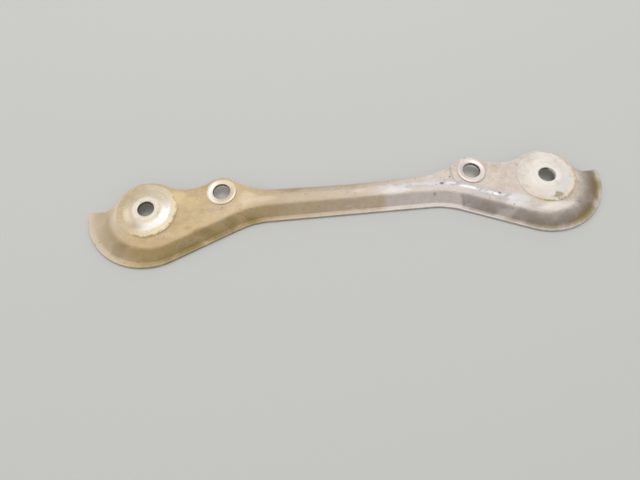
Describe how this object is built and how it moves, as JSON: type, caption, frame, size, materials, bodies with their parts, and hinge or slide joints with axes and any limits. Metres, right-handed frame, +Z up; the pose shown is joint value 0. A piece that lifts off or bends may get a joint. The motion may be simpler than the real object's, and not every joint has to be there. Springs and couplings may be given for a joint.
{
  "type": "pressed steel link bar",
  "caption": "Pressed sheet-steel link bar with domed bolt seats on its round ends, collared inner bolt holes and a turned-out rim, laid flat on its rim.",
  "frame": {"origin": "middle of the bounding box in X and Y, on the underside of the rim", "axes": "+X along the bar to the end with the oblong hole, +Y towards the trimmed edge without a wall, +Z up from the rim to the web"},
  "size_m": [0.4282, 0.073, 0.0126],
  "materials": {
    "bare_steel_sheet": "dull bare metal with a tan film",
    "collar_steel": "dull, rubbed clean at the bore",
    "seat_disc_steel": "satin, rubbed bright round the hole"
  },
  "bodies": {
    "root": {"pressed_bar": "bare_steel_sheet", "collar_left": "collar_steel", "collar_right": "collar_steel", "seat_disc_left": "seat_disc_steel", "seat_disc_right": "seat_disc_steel"}
  },
  "joints": []
}
